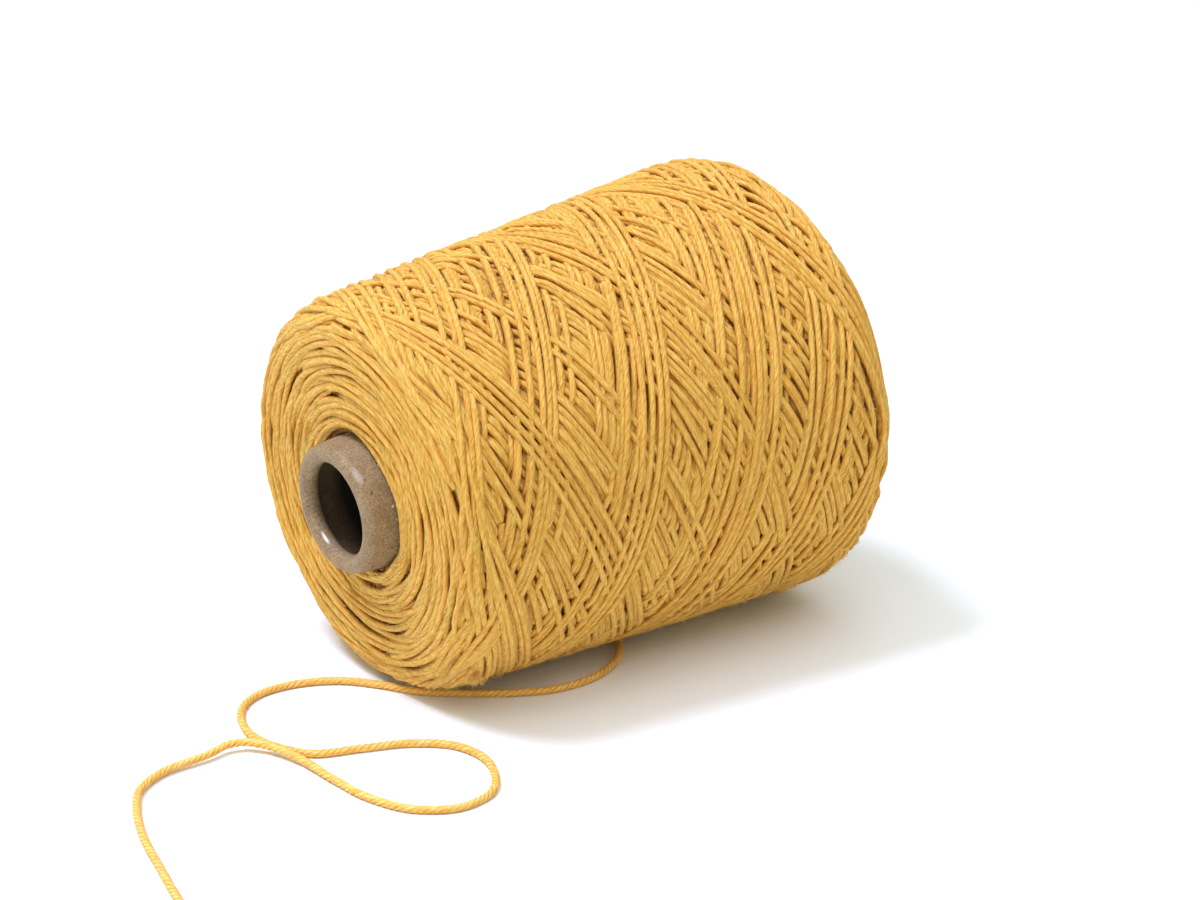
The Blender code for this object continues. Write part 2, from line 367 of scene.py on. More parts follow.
def yarn_material(name, group, dark, middle, light, pitch, bump, valley, flank_shade, fibre_size):
    """Plied yarn: dark colours its random patches and also paints shade, which valley sets between its plies
    and the flank share at its sides.
    """
    made, net, shader = principled(name, {
        "Subsurface Weight": 0.3, "Subsurface Radius": (1.0, 0.5, 0.12), "Subsurface Scale": 0.0012,
        "Sheen Weight": 0.1, "Sheen Roughness": 0.5, "Sheen Tint": (1.0, 0.85, 0.5, 1),
        "Specular IOR Level": 0.5,
    })
    strand = {"Strand": net.uv("strand"), "Pitch": pitch, "Fibre Size": fibre_size}
    plied = net.node("ShaderNodeGroup", strand, node_tree=group).outputs
    fibres = net.remap(plied["Fibres"], 0.4, 0.6)
    tone = net.plus(net.times(fibres, 0.8), net.times(net.point_value("shade"), 0.2))
    colour = net.layers(
        middle,
        (tone, light),
        (net.remap(plied["Patches"], 0.52, 0.74, 0.0, 0.2), dark),
        # painted shade between the plies
        (net.times(plied["Valley"], valley), dark),
        # painted shade at the sides of each strand, and under the loose end, by how far it faces out
        (net.remap(net.point_value("facing"), 0.85, 0.1, 0.0, flank_shade), dark),
    )
    net.join(colour, shader.inputs["Base Color"])
    net.join(net.bump(plied["Height"], bump, 0.9), shader.inputs["Normal"])
    net.join(net.remap(fibres, 0.0, 1.0, 0.8, 0.66), shader.inputs["Roughness"])
    return made


def fuzz_material():
    """Fine pale fibres, brighter and yellower in places."""
    made, net, shader = principled("yarn_fuzz", {"Roughness": 0.9, "Specular IOR Level": 0.2})
    place = net.node("ShaderNodeTexCoord").outputs["Object"]
    tone = net.remap(net.noise(place, 900.0, 2.0, 0.6), 0.35, 0.65)
    net.join(net.mix(tone, (0.78, 0.42, 0.07), (0.95, 0.66, 0.24)), shader.inputs["Base Color"])
    return made


def inside_material():
    """The inside of the winding, painted darker brown than the yarn as painted shade deep between the
    strands, with the turns below hinted at as crossing lines.
    """
    made, net, shader = principled("winding_shadow", {"Roughness": 0.95})
    turns, along, _ = net.parts(net.uv("strand"))
    lines = []
    for lines_round in (-75.0, 75.0):
        across = net.plus(net.times(turns, lines_round), net.times(along, 460.0))
        lines.append(net.maths("ABSOLUTE", net.maths("SINE", net.times(across, math.pi))))
    woven = net.maths("MAXIMUM", *lines)
    # both browns are darker than the yarn: painted shade
    net.join(net.mix(woven, (0.2, 0.08, 0.01), (0.46, 0.21, 0.025)), shader.inputs["Base Color"])
    net.join(net.bump(woven, 0.0006, 1.0), shader.inputs["Normal"])
    return made


# Painted shade of two small pits and two painted highlights on the rim: turns round, metres down, half round,
# half along (metres), strength, colour
# the dark colour is painted shade in pits, the pale one a painted highlight
PAINTED_PIT_SHADE, PAINTED_HIGHLIGHT = (0.04, 0.022, 0.012), (0.85, 0.8, 0.7)
PAPER_MARKS = (
    (0.8347, 0.1663, 0.0005, 0.0006, 0.85, PAINTED_PIT_SHADE),
    (0.2875, 0.1738, 0.00035, 0.00035, 0.85, PAINTED_PIT_SHADE),
    (0.402, 0.1747, 0.003, 0.0006, 0.95, PAINTED_HIGHLIGHT),
    (0.884, 0.168, 0.003, 0.0014, 0.25, PAINTED_HIGHLIGHT),
)
RIM_ROUND = 0.1  # once round the rim, metres


def paper_material():
    """Brown pressed paper: mottled, lightly polished, with pale flecks, painted highlights on its rim, and
    painted shade in its pits and deep in its bore.
    """
    made, net, shader = principled("brown_pressed_paper", {"Specular IOR Level": 0.35})
    place = net.node("ShaderNodeTexCoord").outputs["Object"]
    turns, down, _ = net.parts(net.uv("paper"))
    mottle = net.noise(place, 220.0, 4.0, 0.6)
    grain = net.noise(place, 1500.0, 3.0, 0.7)
    layers = [
        (net.remap(mottle, 0.35, 0.65), (0.31, 0.205, 0.092)),
        (net.remap(grain, 0.52, 0.68, 0.0, 0.6), (0.45, 0.34, 0.22)),
        (net.remap(grain, 0.48, 0.34, 0.0, 0.6), (0.13, 0.08, 0.045)),
    ]
    for turn, run, half_round, half_along, strength, mark in PAPER_MARKS:
        across = net.times(net.minus(turns, turn), RIM_ROUND / half_round)
        length = net.times(net.minus(down, run), 1 / half_along)
        squares = net.plus(net.times(across, across), net.times(length, length))
        layers.append((net.times(net.remap(squares, 0.05, 1.0, 1.0, 0.0), strength), mark))
    # painted shade: the inner wall is painted almost black deep inside the bore
    bore_shade = net.times(net.remap(down, 0.1765, 0.19), net.remap(down, 0.315, 0.335, 1.0, 0.0))
    # pale flecks are the paper's own; the dark specks are painted shade in small dents, which the bump dents
    # too
    flecks = net.node("ShaderNodeTexVoronoi", {"Vector": place, "Scale": 260.0}).outputs
    fleck = net.remap(flecks["Distance"], 0.1, 0.16, 1.0, 0.0)
    chance = net.parts(flecks["Color"])[0]
    pale = net.times(fleck, net.maths("GREATER_THAN", chance, 0.93))
    pit = net.times(fleck, net.maths("LESS_THAN", chance, 0.05))
    layers += [
        (net.times(bore_shade, 0.97), (0.01, 0.006, 0.003)),
        (net.times(pale, 0.7), (0.75, 0.7, 0.62)),
        (net.times(pit, 0.8), (0.05, 0.03, 0.02)),
    ]
    net.join(net.layers((0.236, 0.148, 0.062), *layers), shader.inputs["Base Color"])
    net.join(net.bump(net.minus(net.plus(grain, mottle), pit), 0.00012, 0.6), shader.inputs["Normal"])
    net.join(net.remap(mottle, 0.3, 0.7, 0.52, 0.7), shader.inputs["Roughness"])
    return made


# ---------------------------------------------------------------- camera, floor and light


def look_at(thing, place, aim):
    thing.location = place
    thing.rotation_euler = (Vector(aim) - Vector(place)).to_track_quat("-Z", "Y").to_euler()


def make_camera():
    data = bpy.data.cameras.new("camera")
    data.sensor_width = 36.0
    data.lens = 86.656
    data.clip_end = 20.0
    camera = linked("camera", data)
    look_at(camera, Vector((-487.91, -657.61, 360.95)) * MM, Vector((-1.78, -16.52, 62.18)) * MM)
    bpy.context.scene.camera = camera


def make_stage():
    """A white floor that sweeps up into a white wall a long way behind the object, seen from the camera."""
    front, back, sweep, top, half_width = -3.0, 2.6, 1.2, 4.0, 5.0  # metres
    outline = [(front, 0.0), (back, 0.0)]
    for step in range(1, 13):
        turn = math.pi / 2 * step / 12
        outline.append((back + sweep * math.sin(turn), sweep * (1 - math.cos(turn))))
    outline.append((back + sweep, top))
    mesh = bmesh.new()
    rows = [[mesh.verts.new((side, *place)) for place in outline] for side in (-half_width, half_width)]
    for a, b, c, d in zip(rows[0], rows[1], rows[1][1:], rows[0][1:]):
        mesh.faces.new((a, b, c, d))
    data = smooth_mesh("floor", mesh)
    data.transform(Matrix.Rotation(math.radians(-37), 4, "Z"))
    look, _, _ = principled(
        "white_floor", {"Base Color": (0.94, 0.955, 0.885, 1), "Roughness": 0.75, "Specular IOR Level": 0.15}
    )
    data.materials.append(look)
    linked("floor", data)


def make_light():
    world = bpy.data.worlds.new("studio")
    world.use_nodes = True
    background = world.node_tree.nodes["Background"]
    background.inputs["Color"].default_value = SKY_COLOUR
    background.inputs["Strength"].default_value = SKY_STRENGTH
    bpy.context.scene.world = world
    bpy.context.scene.view_settings.view_transform = "Standard"
    for name, place, aim, size, power, colour in LIGHTS:
        data = bpy.data.lights.new(name, "AREA")
        data.shape = "DISK"
        data.size = size
        data.energy = power
        data.color = colour
        look_at(linked(name, data), place, aim)


# ---------------------------------------------------------------- geometry nodes


def strand_tree():
    """Sweeps a slightly flattened round along every run of strand, and keeps how far round each point is."""
    tree, net, given, out = empty_group("lay_strands", "GeometryNodeTree", {
        "Geometry": "Geometry", "Width": 0.002, "Flattened": 0.85, "Sides": 7, "Material": "Material",
    }, {"Geometry": "Geometry"})
    line = net.shape("MeshToCurve", {"Mesh": given["Geometry"]})
    line = net.shape("SetCurveRadius", {"Curve": line, "Radius": net.kept("girth", "FLOAT")})
    outward = net.kept("outward", "FLOAT_VECTOR")
    line = net.shape("SetCurveNormal", {"Curve": line, "Normal": outward}, mode="FREE")
    half = net.times(given["Width"], 0.5)
    ring = net.shape("CurvePrimitiveCircle", {"Resolution": given["Sides"], "Radius": half})
    squeeze = net.vector(given["Flattened"], 1.0, 1.0)
    ring = net.shape("Transform", {"Geometry": ring, "Scale": squeeze})
    factor = net.node("GeometryNodeSplineParameter").outputs["Factor"]
    marked = {"Geometry": ring, "Name": "round", "Value": factor}
    ring = net.shape("StoreNamedAttribute", marked, data_type="FLOAT", domain="POINT")
    tube = net.shape("CurveToMesh", {"Curve": line, "Profile Curve": ring, "Fill Caps": True})
    smooth = net.shape("SetShadeSmooth", {"Geometry": tube})
    real = net.shape("RealizeInstances", {"Geometry": smooth})
    painted = net.shape("SetMaterial", {"Geometry": real, "Material": given["Material"]})
    net.join(painted, out["Geometry"])
    return tree


def fuzz_tree():
    """A short bent hair on every root point, which stands out along the point's own outward direction."""
    tree, net, given, out = empty_group("grow_fuzz", "GeometryNodeTree", {
        "Geometry": "Geometry", "Shortest": 0.0007, "Longest": 0.0024, "Thickness": 0.00002, "Lean": 1.0,
        "Seed": 5, "Material": "Material",
    }, {"Geometry": "Geometry"})
    outward = net.kept("outward", "FLOAT_VECTOR")
    upright = net.node("FunctionNodeAlignRotationToVector", {"Vector": outward}, axis="Z").outputs[0]
    spread = net.vector(given["Lean"], given["Lean"], math.pi)
    against = net.node("ShaderNodeVectorMath", {0: spread, 3: -1.0}, operation="SCALE").outputs[0]
    either_way = {0: against, 1: spread, "Seed": given["Seed"]}
    spin = net.node("FunctionNodeRandomValue", either_way, data_type="FLOAT_VECTOR").outputs[0]
    turned = net.node("FunctionNodeRotateRotation", {0: upright, 1: spin}, rotation_space="LOCAL").outputs[0]
    lengths = {2: given["Shortest"], 3: given["Longest"], "Seed": net.plus(given["Seed"], 1.0)}
    length = net.node("FunctionNodeRandomValue", lengths, data_type="FLOAT").outputs[1]
    hair = net.shape("CurvePrimitiveBezierSegment", {
        "Resolution": 2, "Start": (0, 0, 0), "Start Handle": (0, 0, 0.5), "End Handle": (0.25, 0, 0.8),
        "End": (0.62, 0, 0.95),
    })
    ring = net.shape("CurvePrimitiveCircle", {"Resolution": 3, "Radius": given["Thickness"]})
    roots = net.shape("MeshToPoints", {"Mesh": given["Geometry"]})
    placed = net.shape("InstanceOnPoints", {
        "Points": roots, "Instance": hair, "Rotation": turned, "Scale": net.vector(length, length, length),
    })
    real = net.shape("RealizeInstances", {"Geometry": placed})
    tube = net.shape("CurveToMesh", {"Curve": real, "Profile Curve": ring, "Fill Caps": True})
    painted = net.shape("SetMaterial", {"Geometry": tube, "Material": given["Material"]})
    net.join(painted, out["Geometry"])
    return tree


def grown(name, start, tree, values):
    """The plain mesh object that a geometry tree makes of a starting mesh."""
    seed = linked(name + "_start", start)
    modifier = seed.modifiers.new("nodes", "NODES")
    modifier.node_group = tree
    for item in tree.interface.items_tree:
        if item.item_type == "SOCKET" and item.in_out == "INPUT" and item.name in values:
            modifier[item.identifier] = values[item.name]
    graph = bpy.context.evaluated_depsgraph_get()
    data = bpy.data.meshes.new_from_object(
        seed.evaluated_get(graph), preserve_all_data_layers=True, depsgraph=graph
    )
    bpy.data.objects.remove(seed)
    data.name = name
    return linked(name, data)


def map_strand(data):
    """A UV map whose u is how far round the strand a corner is and v how far along, in metres.

    It also keeps how far each point faces out of the winding, 1 on a strand's top and 0 at its sides, by
    which the material paints shade on its sides.
    """
    corner = fetched(data.loops, "vertex_index", kind=np.int32)
    sizes = fetched(data.polygons, "loop_total", kind=np.int32)
    face = np.repeat(np.arange(len(sizes)), sizes)
    turns = fetched(data.attributes["round"].data, "value")[corner]
    along = fetched(data.attributes["along"].data, "value")[corner]
    highest = np.zeros(len(sizes), np.float32)
    np.maximum.at(highest, face, turns)
    over_seam = (highest[face] - turns) > 0.5
    layer = data.uv_layers.new(name="strand")
    layer.data.foreach_set("uv", np.stack([turns + over_seam, along], 1).ravel())
    outward = fetched(data.attributes["outward"].data, "vector", 3)
    write_points(data, "facing", (fetched(data.vertex_normals, "vector", 3) * outward).sum(1))


# ---------------------------------------------------------------- the winding


class Form:
    """The package's outline as one line q: nose face, shoulder, side, shoulder, base face."""

    STEP = 0.45

    def __init__(self):
        along, inward = NOSE_SHOULDER
        end, base_in = BASE_SHOULDER
        self.side_start, self.side_end = along, TRAVERSE - end
        nose_edge = self.side(along) - inward
        base_edge = self.side(self.side_end) - base_in
        count = 40  # points on each part
        turn = np.linspace(0, math.pi / 2, count)
        paper_at_nose = PAPER_RADIUS + 0.4
        paper_at_base = PAPER_RADIUS + TRAVERSE * math.tan(TAPER)
        nose_face = np.stack([np.zeros(count), np.linspace(paper_at_nose, nose_edge, count)], 1)
        shoulder = np.stack([along * (1 - np.cos(turn)), nose_edge + inward * np.sin(turn)], 1)
        base_shoulder = np.stack([self.side_end + end * np.sin(turn), base_edge + base_in * np.cos(turn)], 1)
        base_r = np.linspace(base_edge, paper_at_base + 0.4, count)
        base_face = np.stack([np.full(count, TRAVERSE), base_r], 1)
        line = np.concatenate([nose_face[:-1], shoulder, base_shoulder, base_face[1:]])
        run = run_length(line)
        self.length = run[-1]
        self.q = np.arange(0, self.length, self.STEP)
        self.s = np.interp(self.q, run, line[:, 0])
        self.r = np.interp(self.q, run, line[:, 1])
        lean_s, lean_r = np.gradient(self.s, self.STEP), np.gradient(self.r, self.STEP)
        size = np.hypot(lean_s, lean_r)
        self.normal_s, self.normal_r = -lean_r / size, lean_s / size
        self.q_nose_edge = nose_edge - PAPER_RADIUS - 0.4
        self.q_side_start = run[2 * count - 2]
        self.q_side_end = self.q_side_start + (self.side_end - self.side_start) / math.cos(TAPER)
        self.q_base_edge = self.length - (base_edge - paper_at_base - 0.4)

    @staticmethod
    def side(along):
        return NOSE_RADIUS + along * math.tan(TAPER)

    def radius(self, q):
        return np.interp(q, self.q, self.r)

    def place(self, angle, q, height):
        """Points in millimetres at a height over the outline, and the outward directions there."""
        s, r = np.interp(q, self.q, self.s), np.interp(q, self.q, self.r)
        ns, nr = np.interp(q, self.q, self.normal_s), np.interp(q, self.q, self.normal_r)
        size = np.hypot(ns, nr)
        ns, nr = ns / size, nr / size
        spoke = around(angle)
        outward = ns[:, None] * AXIS + nr[:, None] * spoke
        middle = NOSE_PLANE + s[:, None] * AXIS + r[:, None] * spoke
        return middle + outward * height[:, None], outward


form = Form()


class HeightMap:
    """How high the strands laid so far stand over the outline, on a grid of angle and q."""

    AROUND = 960
    SIDE_STEPS = np.array([-0.95, -0.7, -0.35, 0.0, 0.35, 0.7, 0.95])

    def __init__(self):
        self.grid = np.zeros((self.AROUND, len(form.q)))
        self.bulge = FLATTENED * SOFTNESS * np.sqrt(1 - self.SIDE_STEPS**2) * WOUND / 2

    def cells(self, angle, q):
        turn = np.mod(np.round(angle / TURN * self.AROUND).astype(int), self.AROUND)
        row = np.clip(np.round(q / form.STEP).astype(int), 0, self.grid.shape[1] - 1)
        return turn, row

    def between(self, grid, angle, q):
        """A grid's values at places between its cells."""
        turn = np.mod(angle / TURN * self.AROUND, self.AROUND)
        row = np.clip(q / form.STEP, 0, grid.shape[1] - 1.001)
        i, j = turn.astype(int), row.astype(int)
        past_i, past_j = turn - i, row - j
        i, i_next = i % self.AROUND, (i + 1) % self.AROUND
        near = grid[i, j] * (1 - past_j) + grid[i, j + 1] * past_j
        far = grid[i_next, j] * (1 - past_j) + grid[i_next, j + 1] * past_j
        return near * (1 - past_i) + far * past_i

    def footprint(self, strand):
        radius = form.radius(strand["q"])
        run_angle, run_q = np.gradient(strand["angle"]) * radius, np.gradient(strand["q"])
        size = np.hypot(run_angle, run_q) + 1e-9
        beside = self.SIDE_STEPS[:, None] * WOUND / 2
        angle = strand["angle"] - beside * (run_q / size) / radius
        q = strand["q"] + beside * (run_angle / size)
        return self.cells(angle, q)

    def under(self, strand):
        """The height of the strand's middle if it lay limp on what is there."""
        return (self.grid[self.footprint(strand)] + self.bulge[:, None]).max(0)

    def lay(self, strand):
        np.maximum.at(self.grid, self.footprint(strand), strand["height"] + self.bulge[:, None])

    def shows(self, strand, margin=0.3):
        top = strand["height"] + self.bulge[:, None]
        return (self.grid[self.footprint(strand)] < top + margin).any(0)


def smoothed(values, width):
    """A running average over 2 * width + 1 samples, run twice."""
    kernel = np.ones(2 * width + 1) / (2 * width + 1)
    for _ in range(2):
        padded = np.concatenate([np.full(width, values[0]), values, np.full(width, values[-1])])
        values = np.convolve(padded, kernel, "valid")
    return values


def pulled_tight(contact, bend, step):
    """A strand drawn tight over bumps: the upper hull of what it touches, on a surface curved by bend."""
    fall = np.cumsum(np.cumsum(bend)) * step * step
    level = contact - fall
    keep = []
    for i, value in enumerate(level):
        while len(keep) > 1:
            a, b = keep[-2], keep[-1]
            if (level[b] - level[a]) * (i - b) > (value - level[b]) * (b - a):
                break
            keep.pop()
        keep.append(i)
    return np.interp(np.arange(len(level)), keep, level[keep]) + fall


def blurred(grid, reach):
    """The map blurred over so many cells: round the package it wraps, at the paper it is mirrored."""
    rows = grid.shape[1]
    mirrored = np.concatenate([grid, grid[:, ::-1]], 1)
    spectrum = np.fft.rfft2(mirrored)
    turn = np.fft.fftfreq(mirrored.shape[0])[:, None]
    along = np.fft.rfftfreq(mirrored.shape[1])[None, :]
    soften = np.exp(-2 * math.pi**2 * reach**2 * (turn**2 + along**2))
    return np.fft.irfft2(spectrum * soften, mirrored.shape)[:, :rows]


class Winding:
    SAMPLE = 0.55  # mm between the samples of a strand
    SINK = 0.1  # how far strands press into those they lie on, mm
    LEVEL_REACH = 5.5  # cells: relief wider than this sinks in until it is level
    LIMP_ENDS = 40  # mm: near where it turns back, a strand hugs what it lies on
    DIVE_REACH = 26  # samples over which a strand's end dips under its neighbours

    def __init__(self, seed):
        self.map = HeightMap()
        self.random = np.random.default_rng(seed)
        self.strands = []

    def wander(self, count, size, every=35):
        """A slow sideways wander of a strand, of about this size, that changes every so many mm."""
        knots = max(4, int(count * self.SAMPLE / every) + 2)
        places = np.linspace(0, count, knots)
        return smoothed(np.interp(np.arange(count), places, self.random.normal(0, size, knots)), 12)

    def add(self, angle, q, tight=0.75, sink=SINK, dive=1.2, kind="turn", wander=0.22):
        """Lays a strand on what is there; tight is 1 where it spans hollows, dive how far its ends dip."""
        radius = form.radius(q)
        run = np.hypot(np.gradient(angle) * radius, np.gradient(q))
        run = np.cumsum(run) - run[0]
        count = max(12, int(run[-1] / self.SAMPLE))
        even = np.linspace(0, run[-1], count)
        q = np.interp(even, run, q) + self.wander(count, wander)
        q = np.clip(q, WOUND * 0.55, form.length - WOUND * 0.55)
        strand = {"angle": np.interp(even, run, angle), "q": q, "kind": kind}
        limp = self.map.under(strand)
        radius = form.radius(q)
        slant = np.gradient(strand["angle"]) * radius / self.SAMPLE
        bend = np.interp(q, form.q, form.normal_r) * slant**2 / radius
        taut = pulled_tight(limp, bend, self.SAMPLE)
        past_end = np.minimum(np.arange(count), np.arange(count)[::-1]) * self.SAMPLE
        tight = tight * np.clip(past_end / self.LIMP_ENDS - 0.2, 0, 1)
        height = tight * taut + (1 - tight) * smoothed(limp, 5)
        height = smoothed(height, 2) - sink
        reach = min(self.DIVE_REACH, count // 3)
        fall = dive * (1 - np.linspace(0, 1, reach)) ** 2
        height[:reach] -= fall
        height[-reach:] -= fall[::-1]
        strand["height"] = height
        self.map.lay(strand)
        self.strands.append(strand)

    def settle(self):
        """The package grows evenly and soft: heights count again from the average, which is level."""
        average = blurred(self.map.grid, self.LEVEL_REACH)
        self.map.grid -= average
        for strand in self.strands:
            strand["height"] -= self.map.between(average, strand["angle"], strand["q"])

    def lowest(self, paths):
        """Of several paths, the one that lies lowest on what is there, with the hollows counting most."""
        def lie(path):
            here = self.map.grid[self.map.cells(path[0][::5], path[1][::5])]
            return np.clip(here, -5.0, 0.6).mean()
        return min(paths, key=lie)

    def crossing(self, middle, sweep, nose_turn, base_turn, rounding=CLIMB_ROUNDING):
        """Angles and q of one pass from nose to base, its turn-backs rounded; sweep is in radians."""
        half = abs(sweep) / 2 / TURN * MEAN_TURN
        rise = (base_turn - nose_turn) / 2
        slope = rise / (math.hypot(half, rounding) - rounding)

        def climb(along):
            """How far a strand has come from where it turned back, this far along it."""
            return slope * (np.sqrt(along**2 + rounding**2) - rounding)

        along = np.linspace(-half - OVERRUN, half + OVERRUN, 720)
        q = np.where(along < 0, nose_turn + climb(along + half), base_turn - climb(half - along))
        return middle + np.sign(sweep) * along / MEAN_TURN * TURN, q

    def turn_back(self, start, end, low=0.15, high=0.95):
        """Somewhere on a shoulder, between two shares of the way from the face to the side."""
        return start + (end - start) * self.random.uniform(low, high)

    def nose_turn(self, *shares):
        return self.turn_back(form.q_nose_edge, form.q_side_start, *shares)

    def base_turn(self, *shares):
        return self.turn_back(form.q_base_edge, form.q_side_end, *shares)


def wind_faces(winding):
    """The end faces: the turn-backs of all the layers inside, as arcs that lie round the paper."""
    pick = winding.random
    ends = (
        ("nose", WOUND * 0.6, form.q_side_start - 1.0),
        ("base", form.length - WOUND * 0.6, form.q_side_end + 1.0),
    )
    for cover in range(FACE_COVERS):
        for kind, inner, outer in ends:
            depth, outwards = abs(outer - inner), math.copysign(1.0, outer - inner)
            rings = int(depth / RING_SPACING)
            for ring in range(rings):
                q_ring = inner + outwards * (ring + 0.5) / rings * depth
                arcs = 3 if form.radius(q_ring) < 34 else 4
                first = pick.uniform(0, TURN)
                for arc in range(arcs):
                    if cover == FACE_COVERS - 1 and pick.uniform() < 0.25:
                        continue
                    middle = first + TURN * (arc + pick.uniform(-0.2, 0.2)) / arcs
                    half = math.pi / arcs * pick.uniform(0.9, 1.5)
                    turn = np.linspace(-half, half, 160)
                    drift = pick.normal(0, 2.2) * turn / half + pick.uniform(-0.4, 4.8) * (turn / half) ** 2
                    off = pick.uniform(-0.9, 0.9)
                    winding.add(
                        middle + turn, q_ring + outwards * (drift + off), tight=0.1,
                        sink=pick.uniform(-0.2, 0.3), dive=2.6, kind=kind, wander=0.4,
                    )
        if cover < FACE_COVERS - 1:
            winding.settle()


def wind_under_layers(winding):
    """One whole cover of turns each way, which fill what the upper turns leave open."""
    pick = winding.random
    for way in (1, -1):
        count = int(MEAN_TURN * math.sin(WINDING_ANGLE) / 2.0)
        for strand in range(count):
            middle = TURN * (strand + pick.uniform(-0.15, 0.15)) / count
            angle, q = winding.crossing(
                middle, way * TURN, winding.nose_turn(0.1, 0.8), winding.base_turn(0.1, 0.8)
            )
            winding.add(angle, q, tight=0.3, kind="under")
        winding.settle()


def wind_side(winding):
    """The turns in the order a winder lays them: each pass starts some way further round than the last.

    Every few passes it comes back beside an earlier one, so each section is some families of turns side by
    side, and the families cross one another turn by turn.
    """
    pick = winding.random
    for _ in range(SECTIONS):
        families = int(pick.choice((3, 4, 5, 5)))
        rows = int(pick.integers(3, 6))
        spacing = pick.uniform(1.8, 2.1) / math.sin(WINDING_ANGLE) / MEAN_TURN * TURN
        spacing *= pick.choice((-1, 1))
        sweep = TURN + math.radians(pick.normal(0, 20))
        start = pick.uniform(0, TURN)
        plans = []
        for family in range(families):
            nose, base = winding.nose_turn(), winding.base_turn()
            rounding = CLIMB_ROUNDING * pick.uniform(0.6, 1.4)
            tries = []
            for place in start + TURN * family / families + pick.uniform(-0.35, 0.35, 6):
                middle = place + spacing * (rows - 1) / 2
                up = winding.crossing(middle, sweep, nose, base, rounding)
                back = winding.crossing(middle + sweep, -sweep, nose, base, rounding)
                tries.append((*np.concatenate([up, back], 1), place))
            last = int(pick.integers(rows - 2, rows + 1))
            plans.append((winding.lowest(tries)[2], nose, base, rounding, last))
        for row in range(rows):
            for place, nose, base, rounding, last in plans:
                if row >= last:
                    continue
                up = place + spacing * row + math.radians(pick.normal(0, 0.8))
                back = up + sweep + math.radians(pick.normal(0, 0.8))
                turns = nose + pick.normal(0, 1.2), base + pick.normal(0, 1.2)
                for middle, way in ((up, 1), (back, -1)):
                    lean = math.radians(pick.normal(0, 2.0))
                    angle, q = winding.crossing(middle, way * (sweep + lean), *turns, rounding)
                    winding.add(angle, q, tight=0.65, wander=0.25)
            winding.settle()


def wind_ribbons(winding):
    """The long ribbons that lie over everything."""
    pick = winding.random
    for middle, sweep, width in RIBBONS:
        count = max(2, int(round(width / 3.0)))
        slope = TRAVERSE / (abs(math.radians(sweep)) / TURN * MEAN_TURN)
        spacing = pick.uniform(2.0, 2.7) / math.sin(math.atan(slope)) / MEAN_TURN * TURN
        nose, base = winding.nose_turn(0.2, 0.7), winding.base_turn(0.2, 0.7)
        for strand in range(count):
            off = (strand - (count - 1) / 2 + pick.uniform(-0.12, 0.12)) * spacing
            angle, q = winding.crossing(
                math.radians(middle) + off, math.radians(sweep), nose + pick.normal(0, 0.7),
                base + pick.normal(0, 0.7),
            )
            winding.add(angle, q, tight=0.6, dive=1.5, kind="ribbon", wander=0.16)
        winding.settle()


def look_over(winding):
    """Marks where each strand shows, and brings the tops of the relief to the package's outline."""
    for strand in winding.strands:
        strand["shows"] = winding.map.shows(strand)
        height = strand["height"]
        height = np.where(height > PROUD, PROUD + (height - PROUD) * PROUD_SHARE, height)
        strand["height"] = height - OUTLINE_OVER_AVERAGE


def widened(shows, reach):
    kernel = np.ones(2 * reach + 1)
    return np.convolve(shows.astype(float), kernel, "same") > 0


def thinned(points, first, last):
    """The samples of a run that its sweep needs: close where it bends, far apart where it's straight."""
    bend = np.linalg.norm(np.gradient(np.gradient(points, axis=0), axis=0), axis=1) / Winding.SAMPLE**2
    step = np.clip(np.sqrt(8 * CHORD_ERROR / (bend[first:last] + 1e-6)), *STEP_RANGE)
    run = np.cumsum(Winding.SAMPLE / step)
    count = max(2, int(math.ceil(run[-1] - run[0])) + 1)
    index = np.searchsorted(run, np.linspace(run[0], run[-1], count))
    return first + np.unique(index.clip(0, last - first - 1))


def clear_of_floor(points, strand, loose_line):
    """Lifts the whole relief where the package lies on the floor, or on the loose end that runs beneath."""
    low = points[:, 2] < FLOOR_REACH
    if not low.any():
        return points
    flat = points[low]
    lowest = WOUND / 2 * SWOLLEN * FLATTENED + 0.05
    top, _ = form.place(strand["angle"][low], strand["q"][low], np.full(low.sum(), RELIEF_TOP))
    near = np.hypot(
        flat[:, None, 0] - loose_line[None, :, 0], flat[:, None, 1] - loose_line[None, :, 1]
    ).min(1)
    hump = STRAND + OVER_STRAND + lowest - HUMP_FALL * np.maximum(near - HUMP_HALF, 0.0)
    ground = np.maximum(lowest, hump)
    flat[:, 2] += SQUEEZED * np.logaddexp(0.0, (ground - top[:, 2]) / SQUEEZED)
    flat[:, 2] = np.maximum(flat[:, 2], ground)
    points[low] = flat
    return points


